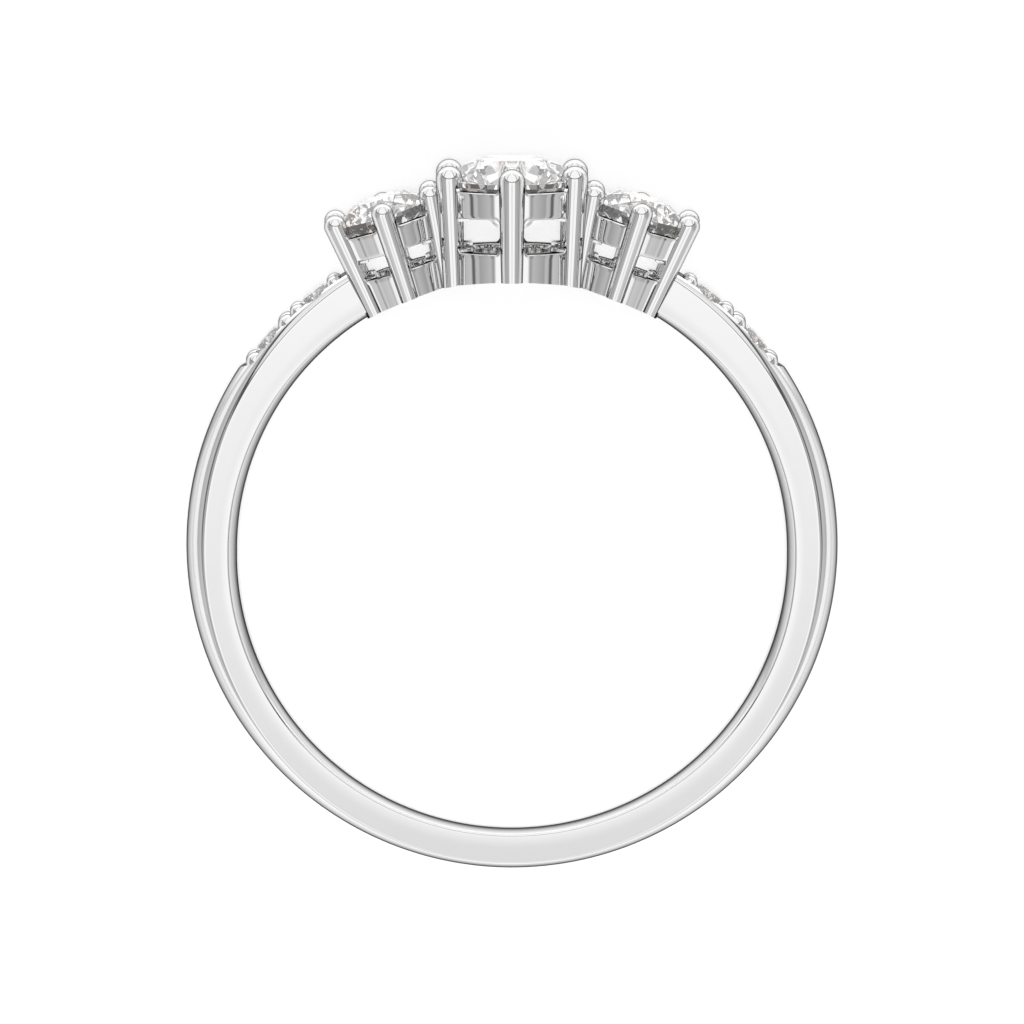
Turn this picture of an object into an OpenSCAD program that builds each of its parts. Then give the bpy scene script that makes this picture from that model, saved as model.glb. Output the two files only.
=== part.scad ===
// Three stone ring with six-prong baskets and stones set in its shoulders.
// The ring lies on its side: the finger goes through it along Z, the stones point along +Y, and the
// origin is on the surface that it rests on, under the middle of the ring. Millimetres throughout.

/* [Finger hole] */
// Inside diameter at the middle of the band
finger_d = 17.3; // [15:0.1:21]
// How far the rounded inside edges of the band open out
comfort_h = 0.28; // [0.1:0.01:0.4]
// How far the round upper half of the hole is raised above its round lower half
hole_rise = 0.18; // [0.1:0.01:0.3]

/* [Band] */
// Width of the band at its widest, near the sides of the finger
band_w = 2; // [1.8:0.05:2.4]
// Width of the band at the bottom of the finger
bottom_w = 1.35; // [1.2:0.05:1.7]
// Thickness of the band at the sides of the finger
side_t = 1.6; // [1.5:0.05:2]
// Thickness of the band at the bottom of the finger
bottom_t = 1.25; // [1:0.05:1.45]
// Height of the dome on the outside of the band
dome_h = 0.56; // [0.4:0.02:0.7]
// How far above the middle of the finger the band is widest
widest_rise = 1.2; // [0:0.1:3]

/* [Centre head] */
// Diameter of the centre stone
centre_d = 4.1; // [3.9:0.05:4.5]
// Height of the prong tips above the finger hole
centre_rise = 3.17; // [2.95:0.01:3.6]
// Distance of the middle of each prong tip outside the stone's edge
centre_prong_out = 0.23; // [0.15:0.01:0.3]
// Diameter of a prong at its tip
centre_tip_d = 0.84; // [0.75:0.01:0.95]
// Diameter of a prong at its foot
centre_foot_d = 0.65; // [0.5:0.01:0.75]
// Lean of the prongs toward the middle of the head at their feet, in degrees
centre_lean = 2.9; // [1:0.1:5]
// Depth of the top rail below the prong tips
centre_rail_drop = 0.36; // [0.3:0.01:0.5]
// Height of the top rail
centre_rail_h = 0.84; // [0.6:0.02:1]
// Height of the windows between the rails
centre_window_h = 1.09; // [0.8:0.01:1.3]
// Thickness of the rails
centre_wall = 0.6; // [0.4:0.02:0.7]

/* [Side heads] */
// Diameter of each side stone
side_d = 3.1; // [2.9:0.05:3.4]
// Gap across the ring between the edges of the centre stone and a side stone
stone_gap = 0.54; // [0.45:0.01:0.7]
// Height of the middle of the prong tips above the finger hole
side_rise = 2.12; // [1.95:0.01:2.4]
// Outward tilt of each side head in degrees
side_tilt = 17.5; // [14:0.5:22]
// Distance of the middle of each prong tip outside the stone's edge
side_prong_out = 0.25; // [0.18:0.01:0.3]
// Diameter of a prong at its tip
side_tip_d = 0.7; // [0.6:0.01:0.8]
// Diameter of a prong at its foot
side_foot_d = 0.54; // [0.4:0.01:0.65]
// Lean of the prongs toward the middle of the head at their feet, in degrees
side_lean = 8; // [5:0.5:10]
// Depth of the top rail below the prong tips
side_rail_drop = 0.49; // [0.4:0.01:0.6]
// Height of the top rail
side_rail_h = 0.78; // [0.6:0.02:0.9]
// Height of the windows between the rails
side_window_h = 0.66; // [0.5:0.01:0.8]
// Thickness of the rails
side_wall = 0.5; // [0.35:0.01:0.55]

/* [Shoulders] */
// Diameter of each shoulder stone
accent_d = 1.5; // [1.35:0.01:1.55]
// Distance along the shoulder from the side head to the middle of the first shoulder stone
accent_start = 1.21; // [1.1:0.01:1.4]
// Distance along the shoulder from stone to stone
accent_pitch = 2.03; // [1.9:0.01:2.3]
// Depth of the flat that is cut in the dome for the shoulder stones
flat_cut = 0.21; // [0.15:0.01:0.25]
// Length of the flat along the shoulder from the side head
flat_len = 4.45; // [4.3:0.05:5]
// Height of the beads above the flat
bead_rise = 0.2; // [0.15:0.01:0.22]
// Height of the stones' tables above the flat
table_rise = 0.12; // [0.08:0.01:0.16]
// Distance between the two rows of beads
bead_rows = 0.84; // [0.7:0.01:0.9]

/* [Cut of the stones] */
// Width of the table as a share of the stone
table_share = 0.53; // [0.5:0.01:0.6]
// Slope of the crown in degrees
crown_angle = 34.5; // [32:0.5:36]
// Slope of the pavilion in degrees
pavilion_angle = 40.8; // [40:0.1:42]
// Thickness of the girdle as a share of the stone
girdle_share = 0.035; // [0.02:0.005:0.04]
// Clearance between a stone and the metal round it
stone_fit = 0.02; // [0.01:0.005:0.03]

/* [Hidden] */
$fn = 64;

// Each row is one shoulder stone, from the side head down. Its columns are the distance along the shoulder
// from its middle to its four beads, and their diameter, both as shares of the stone's diameter
BEAD_OUT = 0;
BEAD_D = 1;
ACCENTS = [
    [0.49, 0.36],
    [0.53, 0.44],
];

PRONGS = 6;
PRONG_TURN = 360 / PRONGS;
// The cut has eight main facets: each takes this share of a turn
MAIN_TURN = 360 / 8;
// Where the star facets end between table and girdle, and where the lower halves end, as shares
star_share = 0.5;
lower_share = 0.25;
// The band ends this share of a side rail's wall inside it
end_share = 0.7;
// How far the rails stand out beyond the middle of the prongs
rail_out = 0.05;
// Height of a stone's girdle below the middle of its prong tips
girdle_drop = 0.18;
// Cuts run past the metal by this much
over = 0.5;
// The sides of the band curve gently, in this many flat lengths from its bottom to its widest place
FLANK_STEPS = 4;

finger_r = finger_d / 2;
outer_r = finger_r + side_t;
outer_rise = side_t - bottom_t;
comfort_r = (pow(band_w / 2, 2) + comfort_h * comfort_h) / (2 * comfort_h);
dome_r = (pow(band_w / 2, 2) + dome_h * dome_h) / (2 * dome_h);

// Bottom outer corner of the band, and half of the band's width at a height above the finger's middle
corner_y = outer_rise - outer_r + dome_r - sqrt(dome_r * dome_r - pow(bottom_w / 2, 2));
function half_w(y) =
    band_w / 2 - (band_w - bottom_w) / 2 * pow((y - widest_rise) / (corner_y - widest_rise), 2);

// Place of each head: its prong tips above the middle of the lower half of the hole, and from its own middle
hole_top = finger_r + hole_rise;
centre_y = hole_top + centre_rise;
centre_tip_r = centre_d / 2 + centre_prong_out;
side_y = hole_top + side_rise;
side_tip_r = side_d / 2 + side_prong_out;
side_spread = centre_d / 2 + stone_gap + side_d / 2 * cos(side_tilt);
side_slope = side_tilt + side_lean;

// Distance from x, y to a circle of radius r round the origin, down a line that slopes inward by a
function reach(x, y, a, r) =
    let (along = x * sin(a) + y * cos(a))
    along - sqrt(along * along - x * x - y * y + r * r);

// Point beside a side head, level with its prong tips and at a distance outward from its middle
function beside(out) = [side_spread + out * cos(side_tilt), side_y - out * sin(side_tilt)];

// Prongs are a little too long, so that the finger hole trims their feet
centre_len = reach(centre_tip_r * cos(PRONG_TURN / 2), centre_y - hole_rise, centre_lean, finger_r) + over;
outer_tip = beside(side_tip_r * cos(PRONG_TURN / 2));
side_len = reach(outer_tip.x, outer_tip.y - hole_rise, side_slope, finger_r) + over;

// Angle above the horizontal, round the middle of the band's outside, at which its flat meets a side head
flat_r = outer_r - flat_cut;
edge = beside(side_tip_r * cos(PRONG_TURN / 2) + side_tip_d / 2) - [0, outer_rise];
edge_reach = reach(edge.x, edge.y, side_slope, flat_r);
head_angle = atan2(edge.y - edge_reach * cos(side_slope), edge.x - edge_reach * sin(side_slope));

// Angle at a distance down the shoulder from the side head
function down(distance) = head_angle - distance / flat_r * 180 / PI;
function accent_angle(i) = down(accent_start + i * accent_pitch);
accent_girdle_r = flat_r + table_rise - table_height(accent_d);

// Heights above and below a stone's girdle
function table_height(d) = d * (girdle_share + (1 - table_share) * tan(crown_angle)) / 2;
function culet_depth(d) = d * (girdle_share + tan(pavilion_angle)) / 2;

// Radius and height of a stone's star points, and of the points between its lower halves
function table_edge(d) = d * table_share * cos(MAIN_TURN / 2) / 2;
function star_r(d) = table_edge(d) + (d / 2 - table_edge(d)) * star_share;
function star_height(d) =
    table_height(d) - (star_r(d) * cos(MAIN_TURN / 2) - d * table_share / 2) * tan(crown_angle);
function half_r(d) = d * lower_share / 2;
function half_height(d) = half_r(d) * cos(MAIN_TURN / 2) * tan(pavilion_angle) - culet_depth(d);

// The ring rests on the lower middle prong of the centre head and the bottom corner of the band, so its
// tilt is that of the steeper line from the corner to the prong's tip or to its foot
foot_z = centre_tip_r - centre_rise * tan(centre_lean)
    + (centre_foot_d + (centre_tip_d - centre_foot_d) * over / centre_len) / 2 / cos(centre_lean);
foot_tilt = atan2(foot_z - bottom_w / 2, hole_top - corner_y);
tip_span = norm([centre_y - corner_y, centre_tip_r - bottom_w / 2]);
tip_tilt = atan2(centre_tip_r - bottom_w / 2, centre_y - corner_y) + asin(centre_tip_d / 2 / tip_span);
rest_tilt = max(foot_tilt, tip_tilt);
lift = bottom_w / 2 * cos(rest_tilt) - corner_y * sin(rest_tilt);

// Ends of the ring along Y as it rests, which put the origin in the middle
table_y = centre_y - girdle_drop + table_height(centre_d);
head_end = max(
    centre_y * cos(rest_tilt) + centre_tip_r * sin(rest_tilt) + centre_tip_d / 2,
    table_y * cos(rest_tilt) + centre_d / 2 * table_share * cos(MAIN_TURN / 2) * sin(rest_tilt));
band_end = (outer_rise - outer_r + dome_r) * cos(rest_tilt) - dome_r;

module lie_down()
    translate([0, -(head_end + band_end) / 2, lift]) rotate([rest_tilt, 0, 0]) children();

// These place what is drawn upright about Z on a head, with its prong tips or the girdle at height 0
module on_centre() translate([0, centre_y, 0]) rotate([-90, 0, 0]) children();

module on_side(side)
    mirror([side < 0 ? 1 : 0, 0, 0])
        translate([side_spread, side_y, 0]) rotate([0, 0, -side_tilt]) rotate([-90, 0, 0]) children();

module in_centre() on_centre() translate([0, 0, -girdle_drop]) children();

module in_side(side) on_side(side) translate([0, 0, -girdle_drop]) children();

// Places what is drawn along X on a shoulder, at an angle above the horizontal
module on_shoulder(side, angle)
    mirror([side < 0 ? 1 : 0, 0, 0]) translate([0, outer_rise, 0]) rotate([0, 0, angle]) children();

module in_shoulder(side, i)
    on_shoulder(side, accent_angle(i)) translate([accent_girdle_r, 0, 0]) rotate([0, 90, 0]) children();

// Round brilliant cut with its girdle at height 0
module brilliant(d) {
    r = d / 2;
    table_r = r * table_share;
    girdle = r * girdle_share;
    function at(radius, turn, z) = [radius * cos(turn), radius * sin(turn), z];
    table = [for (i = [0:7]) at(table_r, i * MAIN_TURN, table_height(d))];
    stars = [for (i = [0:7]) at(star_r(d), (i + 0.5) * MAIN_TURN, star_height(d))];
    upper = [for (i = [0:15]) at(r, i * MAIN_TURN / 2, girdle)];
    lower = [for (i = [0:15]) at(r, i * MAIN_TURN / 2, -girdle)];
    halves = [for (i = [0:7]) at(half_r(d), (i + 0.5) * MAIN_TURN, half_height(d))];
    // First point of each group in the joined list
    st = 8;
    up = 16;
    lo = 32;
    ha = 48;
    culet = 56;
    polyhedron(
        points = concat(table, stars, upper, lower, halves, [[0, 0, -culet_depth(d)]]),
        faces = concat(
            [[for (i = [7:-1:0]) i]],
            [for (i = [0:7]) [i, (i + 1) % 8, st + i]],
            [for (i = [0:7]) [i, st + i, up + 2 * i, st + (i + 7) % 8]],
            [for (i = [0:7]) [st + i, up + 2 * i + 1, up + 2 * i]],
            [for (i = [0:7]) [st + i, up + (2 * i + 2) % 16, up + 2 * i + 1]],
            [for (i = [0:15]) [up + i, up + (i + 1) % 16, lo + (i + 1) % 16, lo + i]],
            [for (i = [0:7]) [ha + i, lo + 2 * i, lo + 2 * i + 1]],
            [for (i = [0:7]) [ha + i, lo + 2 * i + 1, lo + (2 * i + 2) % 16]],
            [for (i = [0:7]) [culet, ha + (i + 7) % 8, lo + 2 * i, ha + i]]
        ));
}

// Room for a stone, which is its round outline grown by the clearance
module stone_room(d) {
    r = d / 2;
    girdle = r * girdle_share;
    rotate_extrude() polygon([
        [0, -culet_depth(d) - stone_fit / cos(pavilion_angle)],
        [half_r(d) + stone_fit, half_height(d) - stone_fit],
        [r + stone_fit, -girdle - stone_fit],
        [r + stone_fit, girdle + stone_fit],
        [star_r(d) + stone_fit, star_height(d) + stone_fit],
        [r * table_share + stone_fit, table_height(d) + stone_fit],
        [0, table_height(d) + stone_fit]
    ]);
}

// Prong from its rounded tip at height 0 down, with its foot leaning toward the middle
module prong(tip_r, tip_d, foot_d, lean, length)
    translate([tip_r, 0, 0]) rotate([0, lean, 0]) {
        sphere(d = tip_d);
        translate([0, 0, -length]) cylinder(d1 = foot_d, d2 = tip_d, h = length);
    }

// Rail round the prongs between two depths below their tips, narrowing as they lean
module rail(tip_r, lean, wall, top, bottom) {
    top_r = tip_r + rail_out - top * tan(lean);
    bottom_r = tip_r + rail_out - bottom * tan(lean);
    translate([0, 0, -bottom]) difference() {
        cylinder(r1 = bottom_r, r2 = top_r, h = bottom - top);
        translate([0, 0, -over]) cylinder(
            r1 = bottom_r - wall - over * tan(lean),
            r2 = top_r - wall + over * tan(lean),
            h = bottom - top + 2 * over);
    }
}

module centre_head() {
    window_top = centre_rail_drop + centre_rail_h;
    for (i = [0:PRONGS - 1]) rotate([0, 0, (i + 0.5) * PRONG_TURN])
        prong(centre_tip_r, centre_tip_d, centre_foot_d, centre_lean, centre_len);
    rail(centre_tip_r, centre_lean, centre_wall, centre_rail_drop, window_top);
    rail(centre_tip_r, centre_lean, centre_wall, window_top + centre_window_h, centre_len);
}

module side_head() {
    window_top = side_rail_drop + side_rail_h;
    for (i = [0:PRONGS - 1]) rotate([0, 0, (i + 0.5) * PRONG_TURN])
        prong(side_tip_r, side_tip_d, side_foot_d, side_lean, side_len);
    rail(side_tip_r, side_lean, side_wall, side_rail_drop, window_top);
    rail(side_tip_r, side_lean, side_wall, window_top + side_window_h, side_len);
}

// Domed ring before its sides are cut
module domed_ring()
    translate([0, outer_rise, 0]) rotate_extrude() {
        translate([0, -dome_r]) square([outer_r - dome_r, 2 * dome_r]);
        translate([outer_r - dome_r, 0]) circle(dome_r);
    }

// Room between the two sides of the band, which narrow toward the bottom of the finger
module flanks() {
    step = (widest_rise - corner_y) / FLANK_STEPS;
    ys = [for (i = [-1:2 * FLANK_STEPS + 1]) corner_y + i * step];
    rotate([90, 0, 90]) linear_extrude(height = 2 * (outer_r + over), center = true)
        polygon(concat(
            [for (y = ys) [y, half_w(y)]],
            [for (i = [len(ys) - 1:-1:0]) [ys[i], -half_w(ys[i])]]));
}

// Half of the finger hole's outline across the band, with its rounded inside edges
module hole_outline()
    difference() {
        translate([0, -(band_w + over) / 2]) square([finger_r + comfort_r, band_w + over]);
        translate([finger_r + comfort_r, 0]) circle(comfort_r);
    }

// Finger hole of the band: round below, straight for the rise, and round above
module finger_hole() {
    rotate_extrude(start = 180, angle = 180) hole_outline();
    rotate([-90, 0, 0]) linear_extrude(height = hole_rise)
        for (side = [0, 1]) mirror([side, 0]) hole_outline();
    translate([0, hole_rise, 0]) rotate_extrude(start = 0, angle = 180) hole_outline();
}

// Between the outer walls of the side heads the heads stand in place of the band, whose two ends are
// flat and lean as those walls do
module head_gap() {
    wall_r = side_tip_r + rail_out - side_wall * end_share;
    apex_y = beside(wall_r).y - beside(wall_r).x / tan(side_slope);
    top_y = outer_rise + outer_r + over;
    top_x = (top_y - apex_y) * tan(side_slope);
    linear_extrude(height = 2 * band_w, center = true)
        polygon([[0, apex_y], [top_x, top_y], [-top_x, top_y]]);
}

// Flat along both shoulders for their stones
module shoulder_flat()
    on_shoulder(1, 0) rotate_extrude(start = down(flat_len), angle = 180 - 2 * down(flat_len))
        translate([flat_r, -band_w]) square([flat_cut + over, 2 * band_w]);

// Open seat for each stone of a shoulder
module seats(side)
    for (i = [0:len(ACCENTS) - 1]) in_shoulder(side, i) cylinder(d = accent_d + 2 * stone_fit, h = over);

module beads(side)
    for (i = [0:len(ACCENTS) - 1], turn = [-1, 1], row = [-1, 1]) {
        bead_d = ACCENTS[i][BEAD_D] * accent_d;
        bead_out = ACCENTS[i][BEAD_OUT] * accent_d;
        on_shoulder(side, down(accent_start + i * accent_pitch + turn * bead_out))
            translate([flat_r + bead_rise - bead_d / 2, 0, row * bead_rows / 2]) sphere(d = bead_d);
    }

module band()
    difference() {
        intersection() {
            domed_ring();
            flanks();
        }
        finger_hole();
        shoulder_flat();
        head_gap();
        for (side = [-1, 1]) seats(side);
    }

// Band with the beads that are raised over the edges of its stones
module beaded_band()
    difference() {
        union() {
            band();
            for (side = [-1, 1]) beads(side);
        }
        for (side = [-1, 1], i = [0:len(ACCENTS) - 1]) in_shoulder(side, i) stone_room(accent_d);
    }

// The three heads side by side, trimmed by the finger hole and notched for their stones
module heads()
    difference() {
        union() {
            on_centre() centre_head();
            for (side = [-1, 1]) on_side(side) side_head();
        }
        translate([0, hole_rise, 0]) cylinder(r = finger_r, h = 2 * (centre_tip_r + centre_tip_d), center = true);
        in_centre() stone_room(centre_d);
        for (side = [-1, 1]) in_side(side) stone_room(side_d);
    }

// All the metal, which is soldered into one
module setting() color("gainsboro") lie_down() {
    beaded_band();
    heads();
}

module centre_stone() color("azure") lie_down()
    in_centre() rotate([0, 0, MAIN_TURN / 2]) brilliant(centre_d);

module side_stone(side) color("lavenderblush") lie_down() in_side(side) brilliant(side_d);

module accent_stone(side, i) color("aliceblue") lie_down() in_shoulder(side, i) brilliant(accent_d);

setting();
centre_stone();
side_stone(-1);  // left_stone
side_stone(1);  // right_stone
accent_stone(-1, 0);  // left_accent_1
accent_stone(-1, 1);  // left_accent_2
accent_stone(1, 0);  // right_accent_1
accent_stone(1, 1);  // right_accent_2
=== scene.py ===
# Three stone ring in polished white gold, lying on its side and seen through its finger hole.
# Sizes are in millimetres and angles in degrees, in the ring's own upright position: the finger goes
# through it along Z, the stones point along +Y, and the middle of the finger is the origin.
import math
import bmesh
import bpy
import numpy as np
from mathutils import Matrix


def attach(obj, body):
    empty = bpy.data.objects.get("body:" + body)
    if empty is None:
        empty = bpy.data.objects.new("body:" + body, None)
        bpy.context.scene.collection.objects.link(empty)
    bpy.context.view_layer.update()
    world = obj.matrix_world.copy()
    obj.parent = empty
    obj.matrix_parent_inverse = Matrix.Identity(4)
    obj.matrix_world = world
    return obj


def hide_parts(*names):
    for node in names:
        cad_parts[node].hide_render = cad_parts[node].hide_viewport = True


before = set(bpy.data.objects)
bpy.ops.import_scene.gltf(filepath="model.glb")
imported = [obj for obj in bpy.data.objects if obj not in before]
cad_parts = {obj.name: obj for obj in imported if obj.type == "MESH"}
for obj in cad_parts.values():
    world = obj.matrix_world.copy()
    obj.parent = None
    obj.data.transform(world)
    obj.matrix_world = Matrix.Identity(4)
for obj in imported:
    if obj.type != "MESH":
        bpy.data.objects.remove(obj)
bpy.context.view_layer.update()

# Band
# A comfort-fit shank of white gold, cast, filed and polished. It is widest and thickest beside the
# finger and slims toward the bottom. Its outside is domed, its sides are flat with softened edges,
# and each shoulder is cut flat for its small stones.
finger_r = 8.65
hole_rise = 0.18
comfort_h = 0.28
band_w = 2.0
bottom_w = 1.35
side_t = 1.6
bottom_t = 1.25
dome_h = 0.56
widest_rise = 1.2
flat_cut = 0.21
flat_start = 32.8
flat_full = 35.3

# The softened edges, with the shares of them that lie on the dome and on the comfort side
band_edge = 0.06
edge_on_dome = 0.52
edge_on_comfort = 0.85
side_roll = 0.35
side_drop = 0.014

outer_r = finger_r + side_t
outer_rise = side_t - bottom_t
comfort_r = ((band_w / 2) ** 2 + comfort_h ** 2) / (2 * comfort_h)
dome_r = ((band_w / 2) ** 2 + dome_h ** 2) / (2 * dome_h)
dome_middle = outer_r - dome_r
corner_y = outer_rise - dome_middle - math.sqrt(dome_r ** 2 - (bottom_w / 2) ** 2)
flat_r = outer_r - flat_cut

# The band's ends lean as the outer walls of the side baskets do, and stop inside those walls
end_slope = math.radians(25.5)
end_apex = -1.02961

# The ring rests on a prong of its centre basket and on the bottom of the band
rest_tilt = math.radians(5.49762)
rest_shift = np.array([0.0, -1.36626, 1.59988])

# Edges sharper than this stay sharp
crease = math.radians(28)


def lay_down(points):
    """The ring's own millimetres to metres where it lies."""
    x, y, z = np.moveaxis(np.asarray(points, float), -1, 0)
    c, s = math.cos(rest_tilt), math.sin(rest_tilt)
    return (np.stack([x, y * c - z * s, y * s + z * c], -1) + rest_shift) / 1000


def smooth(mesh):
    mesh.shade_smooth()
    mesh.set_sharp_from_angle(angle=crease)


def make_piece(name, grids, ring=False):
    """One object from grids of points, each made of rows of closed loops.

    A grid is capped at both ends, or its last row is joined to the first as a ring.
    """
    points, faces = [], []
    for grid in grids:
        start = len(points)
        rows, turns = grid.shape[:2]
        points.extend(lay_down(grid).reshape(-1, 3))

        def at(i, j):
            return start + i % rows * turns + j % turns

        for i in range(rows if ring else rows - 1):
            for j in range(turns):
                faces.append([at(i, j), at(i, j + 1), at(i + 1, j + 1), at(i + 1, j)])
        if not ring:
            faces.append([at(0, j) for j in range(turns - 1, -1, -1)])
            faces.append([at(rows - 1, j) for j in range(turns)])
    mesh = bpy.data.meshes.new(name)
    mesh.from_pydata(points, [], faces)
    shape = bmesh.new()
    shape.from_mesh(mesh)
    bmesh.ops.recalc_face_normals(shape, faces=shape.faces)
    shape.to_mesh(mesh)
    shape.free()
    smooth(mesh)
    piece = bpy.data.objects.new(name, mesh)
    bpy.context.scene.collection.objects.link(piece)
    return piece


def both_sides(grids):
    return [grid * [side, 1, 1] for grid in grids for side in (-1, 1)]


def half_width(y):
    """Half of the band's width, which shrinks from its widest place toward the bottom."""
    down = (y - widest_rise) / (corner_y - widest_rise)
    return band_w / 2 - (band_w - bottom_w) / 2 * down ** 2


def dome(z):
    return dome_middle + np.sqrt(np.maximum(dome_r ** 2 - z ** 2, 0))


def above_hole(r, turn):
    """Distance from the finger's middle of a point at r from the middle of its half of the hole."""
    rise = hole_rise * (np.sin(turn) > 0)
    return rise * np.sin(turn) + np.sqrt(r ** 2 - (rise * np.cos(turn)) ** 2)


def from_middle(ring_r, turn):
    """Distance from the finger's middle of a point on a circle round the outside's own middle."""
    lift = outer_rise * np.sin(turn)
    return lift + np.sqrt(ring_r ** 2 - (outer_rise * np.cos(turn)) ** 2)


def end_turn(r):
    """Turn at which the band ends, at a distance from the finger's middle."""
    return np.arccos(-end_apex * math.sin(end_slope) / r) - end_slope


def smooth_step(x):
    x = np.clip(x, 0, 1)
    return x * x * (3 - 2 * x)


# Turns from the bottom at which the band is drawn, closer together where the flats of its shoulders
# begin. They are counted at a radius near its outside, and each distance takes its share of them.
# The flats' own angles are 90 less, and 1.6 less again, because the outside has a middle of its own.
turns_r = 10.0
full_turn = math.degrees(end_turn(turns_r)) + 90
ramp_start = flat_start + 91
ramp_end = flat_full + 92.5
plain_step = 0.6
ramp_step = 0.1
flat_step = 0.5
right_half = np.concatenate([
    np.arange(0, ramp_start, plain_step), np.arange(ramp_start, ramp_end, ramp_step),
    np.arange(ramp_end, full_turn, flat_step), [full_turn]])
share = np.concatenate([-right_half[:0:-1], right_half]) / full_turn


def turn_at(r):
    return -math.pi / 2 + share * (end_turn(r) + math.pi / 2)


def band_points(r, z):
    turn = turn_at(r)
    return np.stack([r * np.cos(turn), r * np.sin(turn), z * np.ones_like(turn)], -1)


def outside(z):
    """Distance of the band's outside from the finger's middle at height z, and the depth of the flat."""
    z = z * np.ones_like(share)
    r = np.full_like(share, outer_r)
    for _ in range(4):
        turn = turn_at(r)
        x, y = r * np.cos(turn), r * np.sin(turn) - outer_rise
        shoulder = np.degrees(np.arctan2(y, np.abs(x)))
        cut = flat_cut * smooth_step((shoulder - flat_start) / (flat_full - flat_start))
        r = from_middle(np.minimum(dome(z), outer_r - cut), turn)
    return r, cut


def width_at(r):
    return half_width(r * np.sin(turn_at(r)))


def comfort(z):
    """Distance of the finger hole's comfort-fit surface from the finger's middle, at height z."""
    r = np.full_like(share, finger_r)
    for _ in range(3):
        r = above_hole(finger_r + comfort_r - np.sqrt(comfort_r ** 2 - z ** 2), turn_at(r))
    return r


# Half the width of each shoulder's flat, and of the strip on the dome that runs on from it
crown_strip = 0.15
_, cut = outside(0)
flat_z = np.maximum(np.sqrt(np.maximum(dome_r ** 2 - (dome_r - cut) ** 2, 0)), crown_strip)

# The corners where the sides would meet the dome and the comfort fit, and where their rounding ends
corner_guess = 9.9
corner_r, _ = outside(width_at(np.full_like(share, corner_guess)))
for _ in range(3):
    corner_z = width_at(corner_r)
    corner_r, _ = outside(corner_z)
dome_z = corner_z - band_edge * edge_on_dome
dome_edge_r, _ = outside(dome_z)
face_out_r = corner_r - band_edge
inner_z = width_at(comfort(corner_z)) - side_drop
inner_r = comfort(inner_z)
face_in_r = inner_r + band_edge
comfort_z = inner_z - band_edge * edge_on_comfort
comfort_edge_r = comfort(comfort_z)


def face_z(r):
    """Height of the band's side, which rolls over gently toward the finger hole."""
    near = np.clip(1 - (r - face_in_r) / side_roll, 0, 1)
    return width_at(r) - side_drop * near ** 2


def rounded(a, b, c, steps=4):
    """Points of a rounded corner from a past b to c, each a pair of distance and height."""
    for t in np.linspace(0, 1, steps + 1):
        yield tuple((1 - t) ** 2 * p + 2 * t * (1 - t) * q + t * t * s for p, q, s in zip(a, b, c))


# The upper half of the band's section, from the middle of the finger hole to the middle of the dome
comfort_steps = 9
face_steps = 13
dome_steps = 10
flat_steps = 6
upper = []
for t in np.linspace(0, 1, comfort_steps + 1)[:-1]:
    z = comfort_z * t
    upper.append((comfort(z), z))
upper.extend(rounded((comfort_edge_r, comfort_z), (inner_r, inner_z), (face_in_r, face_z(face_in_r))))
for t in np.linspace(0, 1, face_steps + 1)[1:-1]:
    r = face_in_r + (face_out_r - face_in_r) * t
    upper.append((r, face_z(r)))
upper.extend(rounded((face_out_r, width_at(face_out_r)), (corner_r, corner_z), (dome_edge_r, dome_z)))
for t in np.linspace(0, 1, dome_steps + 1)[1:]:
    z = dome_z + (flat_z - dome_z) * t
    upper.append((outside(z)[0], z))
for t in np.linspace(0, 1, flat_steps + 1)[1:]:
    z = flat_z * (1 - t)
    upper.append((outside(z)[0], z))

profile = [band_points(r, z) for r, z in upper]
mirrored = [points * [1, 1, -1] for points in profile[-2:0:-1]]
band = make_piece("band", [np.stack(profile + mirrored, 1)])


def new_material(name):
    material = bpy.data.materials.new(name)
    material.use_nodes = True
    return material, material.node_tree.nodes, material.node_tree.links


# Polished white gold: bright, with the faintest haze of polishing
white_gold, nodes, links = new_material("white_gold")
metal = nodes["Principled BSDF"]
metal.inputs["Metallic"].default_value = 1.0
metal.inputs["Specular Tint"].default_value = (0.02, 0.02, 0.02, 1)
place = nodes.new("ShaderNodeTexCoord")
cloud = nodes.new("ShaderNodeTexNoise")
cloud.inputs["Scale"].default_value = 900
cloud.inputs["Detail"].default_value = 3
tone = nodes.new("ShaderNodeValToRGB")
tone.color_ramp.elements[0].color = (0.846, 0.846, 0.846, 1)
tone.color_ramp.elements[1].color = (0.872, 0.871, 0.869, 1)
haze = nodes.new("ShaderNodeMapRange")
haze.inputs["To Min"].default_value = 0.035
haze.inputs["To Max"].default_value = 0.075
links.new(place.outputs["Object"], cloud.inputs["Vector"])
links.new(cloud.outputs["Fac"], tone.inputs["Fac"])
links.new(tone.outputs["Color"], metal.inputs["Base Color"])
links.new(cloud.outputs["Fac"], haze.inputs["Value"])
links.new(haze.outputs["Result"], metal.inputs["Roughness"])


def finish_metal(piece):
    piece.data.materials.clear()
    piece.data.materials.append(white_gold)
    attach(piece, "root")
    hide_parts("setting")


# Cut stones
# Round brilliants of diamond, ground and polished: a table, eight main facets with stars and halves
# round it, a thin girdle and a pavilion that ends in a point. Prongs hold the three large ones and
# beads the small ones. They are the frame's own solids, with a better material.
table_share = 0.53
crown_angle = math.radians(34.5)
pavilion_angle = math.radians(40.8)
girdle_share = 0.035
star_share = 0.5
lower_share = 0.25
main_half = math.radians(22.5)
stone_fit = 0.02
centre_d = 4.1
side_d = 3.1
accent_d = 1.5

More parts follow.
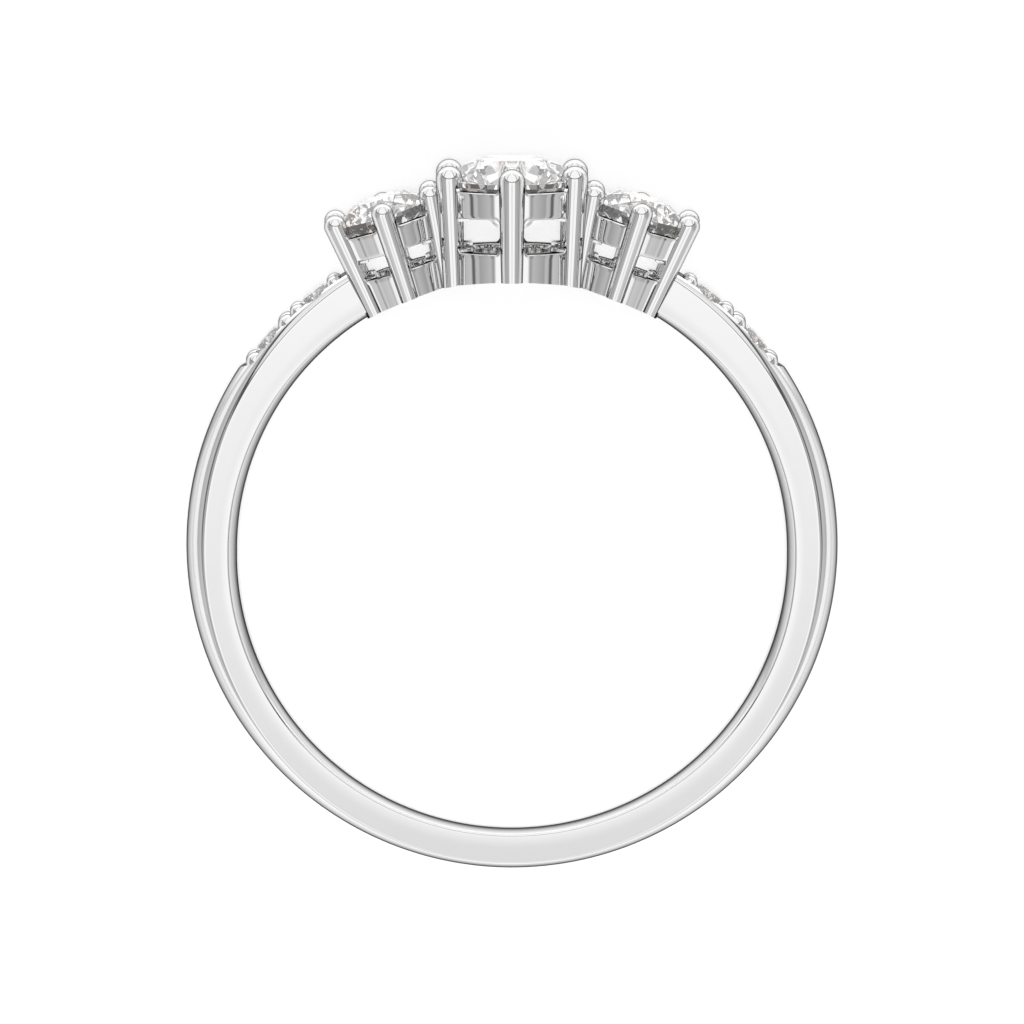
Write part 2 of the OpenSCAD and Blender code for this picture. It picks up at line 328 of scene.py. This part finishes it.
# Diamond bends light far more than glass does, and throws most of it back through the table. A few
# facets carry a faint warm colour, painted to stand in for the coloured fire of dispersion.
diamond, nodes, links = new_material("diamond")
clear = nodes["Principled BSDF"]
clear.inputs["Roughness"].default_value = 0.0
clear.inputs["IOR"].default_value = 2.417
clear.inputs["Transmission Weight"].default_value = 1.0
# The stones glow faintly of their own: painted light that brightens them.
clear.inputs["Emission Color"].default_value = (1, 1, 1, 1)
clear.inputs["Emission Strength"].default_value = 0.02
place = nodes.new("ShaderNodeTexCoord")
# Painted coloured fire: warm patches in a few facets, standing in for dispersion.
painted_fire_patches = nodes.new("ShaderNodeTexVoronoi")
painted_fire_patches.inputs["Scale"].default_value = 1400
painted_fire_tint = nodes.new("ShaderNodeValToRGB")
painted_fire_tint.color_ramp.elements[0].color = (1, 1, 1, 1)
painted_fire_tint.color_ramp.elements[0].position = 0.58
painted_fire_tint.color_ramp.elements[1].position = 0.78
painted_fire_tint.color_ramp.elements[1].color = (0.9, 0.76, 0.7, 1)
links.new(place.outputs["Object"], painted_fire_patches.inputs["Vector"])
links.new(painted_fire_patches.outputs["Color"], painted_fire_tint.inputs["Fac"])
links.new(painted_fire_tint.outputs["Color"], clear.inputs["Base Color"])
for name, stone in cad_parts.items():
    if name != "setting":
        stone.data.materials.clear()
        stone.data.materials.append(diamond)


def room(d):
    """Outline of the room round a stone, as distances from its axis and heights above its girdle."""
    r = d / 2
    girdle = r * girdle_share
    top = r * (girdle_share + (1 - table_share) * math.tan(crown_angle))
    culet = r * (girdle_share + math.tan(pavilion_angle))
    edge = r * table_share * math.cos(main_half)
    star = edge + (r - edge) * star_share
    star_z = top - (star * math.cos(main_half) - r * table_share) * math.tan(crown_angle)
    half = r * lower_share
    half_z = half * math.cos(main_half) * math.tan(pavilion_angle) - culet
    return np.array([
        [0, -culet - stone_fit / math.cos(pavilion_angle)], [half + stone_fit, half_z - stone_fit],
        [r + stone_fit, -girdle - stone_fit], [r + stone_fit, girdle + stone_fit],
        [star + stone_fit, star_z + stone_fit], [r * table_share + stone_fit, top + stone_fit],
        [0, top + stone_fit]])


def clear_stone(points, d, drop):
    """Moves points that are inside a stone's room out to its surface. The stone's axis is local Z."""
    outline = room(d)
    flat = np.hypot(points[..., 0], points[..., 1])
    z = points[..., 2] + drop
    reach = np.interp(z, outline[:, 1], outline[:, 0], left=0, right=0)
    grow = np.where(flat < reach, reach / np.maximum(flat, 1e-6), 1)
    moved = points.copy()
    moved[..., 0] *= grow
    moved[..., 1] *= grow
    return moved


# Centre basket
# The head of white gold that carries the large stone: six round prongs soldered to two rails. The
# prongs lean in a little toward their feet, which the finger hole trims, and their tips are rounded
# over the stone's edge.
prong_count = 6
prong_turn = 360 / prong_count
rail_out = 0.05
rail_edge = 0.05
window_corner = 0.12
girdle_drop = 0.18
centre_rise = 3.17
centre_y = finger_r + hole_rise + centre_rise
centre_prong_out = 0.23
centre_prong = {"tip_r": centre_d / 2 + centre_prong_out, "tip_d": 0.84, "lean": 2.9}
centre_foot_d = 0.65
centre_prong_l = 3.865
centre_wall = 0.6
# For each rail: its top and bottom below the prong tips, and whether the finger hole trims it
centre_rails = [("centre_top_rail", 0.36, 1.2, False), ("centre_low_rail", 2.29, centre_prong_l, True)]


def around_axis(sides):
    return np.linspace(0, 2 * math.pi, sides, endpoint=False)


def on_centre(points):
    x, y, z = np.moveaxis(points, -1, 0)
    return np.stack([x, centre_y + z, -y], -1)


def trimmed(top, bottom, place_on):
    """Share of the way from top to bottom at which each line reaches the finger hole."""
    low, high = np.zeros(top.shape[:-1]), np.ones(top.shape[:-1])
    for _ in range(30):
        middle = (low + high) / 2
        at = place_on(top + (bottom - top) * middle[..., None])
        outside_hole = np.hypot(at[..., 0], at[..., 1] - hole_rise) > finger_r
        low = np.where(outside_hole, middle, low)
        high = np.where(outside_hole, high, middle)
    return low


def between(top, bottom, way):
    """Points a share of the way from top to bottom, or each its own share."""
    return top + (bottom - top) * way


def prong_grids(tip_r, tip_d, lean, foot_d, length, rows, d, place_on, sides=40):
    """A basket's prongs, each from the top of its rounded tip to its foot at the finger hole."""
    around = around_axis(sides)
    ring = np.stack([np.cos(around), np.sin(around), 0 * around], -1)
    tilt = math.radians(lean)
    grids = []
    for i in range(prong_count):
        spin = math.radians((i + 0.5) * prong_turn)

        def stand(points):
            """Leans a prong that points up at the axis, and stands it in its place round the stone."""
            x, y, z = np.moveaxis(points, -1, 0)
            out = x * math.cos(tilt) + z * math.sin(tilt) + tip_r
            up = z * math.cos(tilt) - x * math.sin(tilt)
            return np.stack([
                out * math.cos(spin) - y * math.sin(spin),
                out * math.sin(spin) + y * math.cos(spin),
                up], -1)

        tip_angles = np.radians(np.linspace(3, 90, 14))
        tip = [
            stand(ring * (tip_d / 2 * math.sin(a)) + [0, 0, tip_d / 2 * math.cos(a)])
            for a in tip_angles]
        top = stand(ring * tip_d / 2)
        bottom = stand(ring * foot_d / 2 - [0, 0, length])
        reach = trimmed(top, bottom, place_on)
        shaft = [between(top, bottom, (reach * t)[:, None]) for t in np.linspace(0, 1, rows + 1)[1:]]
        grids.append(place_on(clear_stone(np.stack(tip + shaft, 0), d, girdle_drop)))
    return grids


def rail_grid(tip_r, tip_d, lean, wall, top, bottom, to_hole, d, place_on, steps=360):
    """A rail between two depths below the prong tips, with small curves where it meets a prong."""
    around = around_axis(steps)
    from_prong = np.degrees(around) % prong_turn - prong_turn / 2
    gap = np.radians(np.abs(from_prong)) * tip_r - tip_d / 2
    near = np.clip(window_corner - gap, 0, window_corner)
    fillet = window_corner - np.sqrt(window_corner ** 2 - near ** 2)
    slope = math.tan(math.radians(lean))

    def ring(inset, depth):
        r = tip_r + rail_out - inset - depth * slope
        return np.stack([r * np.cos(around), r * np.sin(around), -depth * np.ones_like(around)], -1)

    upper = top - fillet
    lower = bottom + (0 if to_hole else fillet)
    corner = [
        (rail_edge * (1 - math.sin(a)), rail_edge * (1 - math.cos(a)))
        for a in np.linspace(0, math.pi / 2, 5)]
    outer_top, inner_top = ring(0, upper + rail_edge), ring(wall, upper + rail_edge)
    outer_end, inner_end = ring(0, lower - rail_edge), ring(wall, lower - rail_edge)
    if to_hole:
        outer_end = between(outer_top, outer_end, trimmed(outer_top, outer_end, place_on)[:, None])
        inner_end = between(inner_top, inner_end, trimmed(inner_top, inner_end, place_on)[:, None])
    loop = []
    for inset, depth in corner:
        loop.append(ring(inset, upper + depth))
    for t in np.linspace(0, 1, 9)[1:]:
        loop.append(between(outer_top, outer_end, t))
    if not to_hole:
        for inset, depth in corner[::-1][1:]:
            loop.append(ring(inset, lower - depth))
        for inset, depth in corner[:-1]:
            loop.append(ring(wall - inset, lower - depth))
    for t in np.linspace(1, 0, 9):
        loop.append(between(inner_top, inner_end, t))
    for inset, depth in corner[::-1][1:]:
        loop.append(ring(wall - inset, upper + depth))
    return place_on(clear_stone(np.stack(loop, 1), d, girdle_drop))


def make_basket(name, prong, rails, foot_d, length, rows, wall, **stone):
    """One head round a stone: its prongs as one piece, and its rails."""
    prongs = prong_grids(**prong, foot_d=foot_d, length=length, rows=rows, **stone)
    finish_metal(make_piece(name, prongs))
    for rail_name, top, bottom, to_hole in rails:
        rail = rail_grid(**prong, wall=wall, top=top, bottom=bottom, to_hole=to_hole, **stone)
        finish_metal(make_piece(rail_name, [rail], ring=True))


make_basket(
    "centre_prongs", centre_prong, centre_rails, foot_d=centre_foot_d, length=centre_prong_l, rows=64,
    wall=centre_wall, d=centre_d, place_on=on_centre)

# Side baskets
# Smaller heads of white gold, made like the centre one. One stands each side, tilted outward and
# soldered between the centre basket and the band.
side_tilt = math.radians(17.5)
side_rise = 2.12
side_y = finger_r + hole_rise + side_rise
side_gap = 0.54
side_spread = centre_d / 2 + side_gap + side_d / 2 * math.cos(side_tilt)
side_prong_out = 0.25
side_prong = {"tip_r": side_d / 2 + side_prong_out, "tip_d": 0.7, "lean": 8}
side_foot_d = 0.54
side_prong_l = 3.559
side_wall = 0.5


def on_right(points):
    x, y, z = np.moveaxis(points, -1, 0)
    c, s = math.cos(side_tilt), math.sin(side_tilt)
    return np.stack([x * c + z * s + side_spread, z * c - x * s + side_y, -y], -1)


def on_left(points):
    return on_right(points) * [-1, 1, 1]


for side, place_on in ("left", on_left), ("right", on_right):
    side_rails = [(side + "_top_rail", 0.49, 1.27, False), (side + "_low_rail", 1.93, side_prong_l, True)]
    make_basket(
        side + "_prongs", side_prong, side_rails, foot_d=side_foot_d, length=side_prong_l, rows=52,
        wall=side_wall, d=side_d, place_on=place_on)

# Shoulder seats and beads
# Two small stones a side sit in seats drilled in the flat of the shoulder. Four beads, raised from the
# band's own metal and rounded over, hold each one by its edge.
bead_rise = 0.2
bead_rows = 0.84
table_rise = 0.12
accent_table = accent_d / 2 * (girdle_share + (1 - table_share) * math.tan(crown_angle))
accent_girdle_r = flat_r + table_rise - accent_table
head_turn = 58.8
# For each stone: its distance from the head, how far out its beads stand, and their diameter
accents = [(1.21, 0.49 * accent_d, 0.36 * accent_d), (3.24, 0.53 * accent_d, 0.44 * accent_d)]


def shoulder_turn(distance):
    return math.radians(head_turn) - distance / flat_r


def on_shoulder(points, turn):
    """Points along X, out from the middle of the band's outside, turned to a place on the shoulder."""
    x, y, z = np.moveaxis(points, -1, 0)
    c, s = math.cos(turn), math.sin(turn)
    return np.stack([x * c - y * s, x * s + y * c + outer_rise, z], -1)


def to_stone(points):
    """From along X on the shoulder to the stone's own place, with its axis along Z."""
    x, y, z = np.moveaxis(points, -1, 0)
    return np.stack([-z, y, x - accent_girdle_r], -1)


def from_stone(points):
    x, y, z = np.moveaxis(points, -1, 0)
    return np.stack([z + accent_girdle_r, y, -x], -1)


def lathe(outline, sides=72):
    around = around_axis(sides)
    ring = np.stack([np.cos(around), np.sin(around)], -1)
    return np.stack([np.concatenate([ring * r, np.full((sides, 1), z)], -1) for r, z in outline])


def bead(bead_d, out_along, out_across):
    """A rounded bead that stands in the flat, less the part that would be in its stone's room."""
    angles = np.radians(np.linspace(4, 176, 26))
    ball = lathe([(bead_d / 2 * math.sin(a), bead_d / 2 * math.cos(a)) for a in angles], 36)
    lean = -out_along / flat_r
    x, y, z = np.moveaxis(ball, -1, 0)
    out = x + flat_r + bead_rise - bead_d / 2
    ball = np.stack([
        out * math.cos(lean) - y * math.sin(lean),
        out * math.sin(lean) + y * math.cos(lean),
        z + out_across], -1)
    return from_stone(clear_stone(to_stone(ball), accent_d, 0))


# The drill that cuts a seat is as wide as the stone's room and reaches past the flat. Its point is
# blunt.
drill_point_r = 0.01
drill_top = 0.5
drill = room(accent_d)[:3]
drill[0, 0] = drill_point_r
drill = from_stone(lathe([*drill, (drill[2, 0], drill_top)]))

seat_cuts, beads = [], []
for distance, bead_out, bead_d in accents:
    turn = shoulder_turn(distance)
    seat_cuts.append(on_shoulder(drill, turn))
    for step in (-1, 1):
        for row in (-1, 1):
            beads.append(on_shoulder(bead(bead_d, step * bead_out, row * bead_rows / 2), turn))

seat_cutter = make_piece("seat_cutter", both_sides(seat_cuts))
cutting = band.modifiers.new("seats", "BOOLEAN")
cutting.operation = "DIFFERENCE"
cutting.solver = "EXACT"
cutting.object = seat_cutter
bpy.context.view_layer.update()
cut_mesh = bpy.data.meshes.new_from_object(band.evaluated_get(bpy.context.evaluated_depsgraph_get()))
band.modifiers.clear()
band.data = cut_mesh
smooth(band.data)
bpy.data.objects.remove(seat_cutter)
finish_metal(band)
finish_metal(make_piece("shoulder_beads", both_sides(beads)))

# Table top
# The plain pale table under the ring, satin enough to show a soft reflection of it. It glows a little,
# which keeps its white even.
table_mesh = bpy.data.meshes.new("table")
table_mesh.from_pydata([(-1, -1, 0), (1, -1, 0), (1, 1, 0), (-1, 1, 0)], [], [(0, 1, 2, 3)])
table = bpy.data.objects.new("table", table_mesh)
bpy.context.scene.collection.objects.link(table)
white, nodes, links = new_material("white_table")
satin = nodes["Principled BSDF"]
satin.inputs["Base Color"].default_value = (0.95, 0.95, 0.95, 1)
satin.inputs["Metallic"].default_value = 0.7
satin.inputs["Roughness"].default_value = 0.15
satin.inputs["Emission Color"].default_value = (1, 1, 1, 1)
satin.inputs["Emission Strength"].default_value = 0.46
table_mesh.materials.append(white)

# Studio light
# Soft light all round that the metal reflects as panels: one over the camera, one at the head of the
# ring, and dimmer ones beside it, with narrow dark gaps between them.
studio_strength = 1.08
lamp_curve = 0.9
world = bpy.data.worlds.new("studio")
bpy.context.scene.world = world
world.use_nodes = True
nodes, links = world.node_tree.nodes, world.node_tree.links
glow = nodes["Background"]
glow.inputs["Color"].default_value = (1, 1, 1, 1)


def number(operation, *values):
    """One step of arithmetic. Values from other nodes are linked, and plain numbers are set."""
    node = nodes.new("ShaderNodeMath")
    node.operation = operation
    for socket, value in zip(node.inputs, values):
        if isinstance(value, (int, float)):
            socket.default_value = value
        else:
            links.new(value, socket)
    return node.outputs[0]


def ramp_of(value, stops):
    """Level by angle, where 180 degrees is 1, from pairs of angle and level."""
    node = nodes.new("ShaderNodeValToRGB")
    ramp = node.color_ramp
    while len(ramp.elements) < len(stops):
        ramp.elements.new(0.5)
    for element, (angle, level) in zip(ramp.elements, stops):
        element.position = angle / 180
        element.color = (level, level, level, 1)
    links.new(value, node.inputs[0])
    return node.outputs[0]


def mixed(amount, low, high):
    node = nodes.new("ShaderNodeMix")
    node.data_type = "FLOAT"
    links.new(amount, node.inputs[0])
    links.new(low, node.inputs[2])
    links.new(high, node.inputs[3])
    return node.outputs[0]


direction = nodes.new("ShaderNodeTexCoord").outputs["Generated"]
split = nodes.new("ShaderNodeSeparateXYZ")
links.new(direction, split.inputs[0])
# Angles from overhead out to the ring's left or right, and from its bottom to its head. 180 degrees is 1.
sideways = number("ABSOLUTE", number("ARCTAN2", split.outputs[0], split.outputs[2]))
across = number("DIVIDE", sideways, math.pi)
along = number("ADD", number("DIVIDE", number("ARCSINE", split.outputs[1]), math.pi), 0.5)
# The lamp at the head of the ring curves away at its sides
high = number("SUBTRACT", along, number("MULTIPLY", number("POWER", across, 2), lamp_curve))

middle_light = ramp_of(across, [
    (0, 1), (27, 1), (30, 0.25), (34, 0.25), (37, 0.5), (56, 0.34), (59, 0.5), (64, 0.48), (66.5, 0.12),
    (70, 0.12), (73, 0.56), (90, 0.45)])
head_light = ramp_of(across, [(0, 1), (42, 1), (44, 0.35), (51, 0.35), (53, 0.95), (75, 0.95), (90, 0.62)])
low_light = ramp_of(across, [
    (0, 0.77), (3, 0.77), (8, 1), (27, 1), (31, 0.35), (36, 0.52), (56, 0.38), (59, 0.55), (64, 0.5),
    (66.5, 0.14), (70, 0.14), (73, 0.58), (90, 0.55)])
bottom_light = ramp_of(across, [(0, 0.85), (54, 0.72), (90, 0.66)])
to_head = ramp_of(high, [(94, 0), (97, 1)])
to_low = ramp_of(along, [(71, 1), (84, 0)])
to_bottom = ramp_of(along, [(45, 1), (60, 0)])
gap = ramp_of(high, [(88, 1), (90, 0.2), (95, 0.2), (97, 1)])
upper_light = mixed(to_low, mixed(to_head, middle_light, head_light), low_light)
light = mixed(to_bottom, upper_light, bottom_light)
links.new(number("MULTIPLY", light, number("MULTIPLY", gap, studio_strength)), glow.inputs["Strength"])

# Camera
# It looks down through the finger hole from a metre above, where perspective hardly shows, and leans
# a little toward the stones. Its place is in metres.
camera_lean = math.radians(0.7)
camera_away = 1.0
look_at_y = -0.00001
look_at_z = 0.00176
camera = bpy.data.objects.new("camera", bpy.data.cameras.new("camera"))
bpy.context.scene.collection.objects.link(camera)
bpy.context.scene.camera = camera
camera.data.sensor_width = 36
camera.data.lens = 1117
camera.data.clip_start = 0.01
camera.data.clip_end = 10
camera.location = (
    0, look_at_y + camera_away * math.sin(camera_lean), look_at_z + camera_away * math.cos(camera_lean))
camera.rotation_euler = (-camera_lean, 0, 0)
bpy.context.scene.view_settings.view_transform = "Standard"
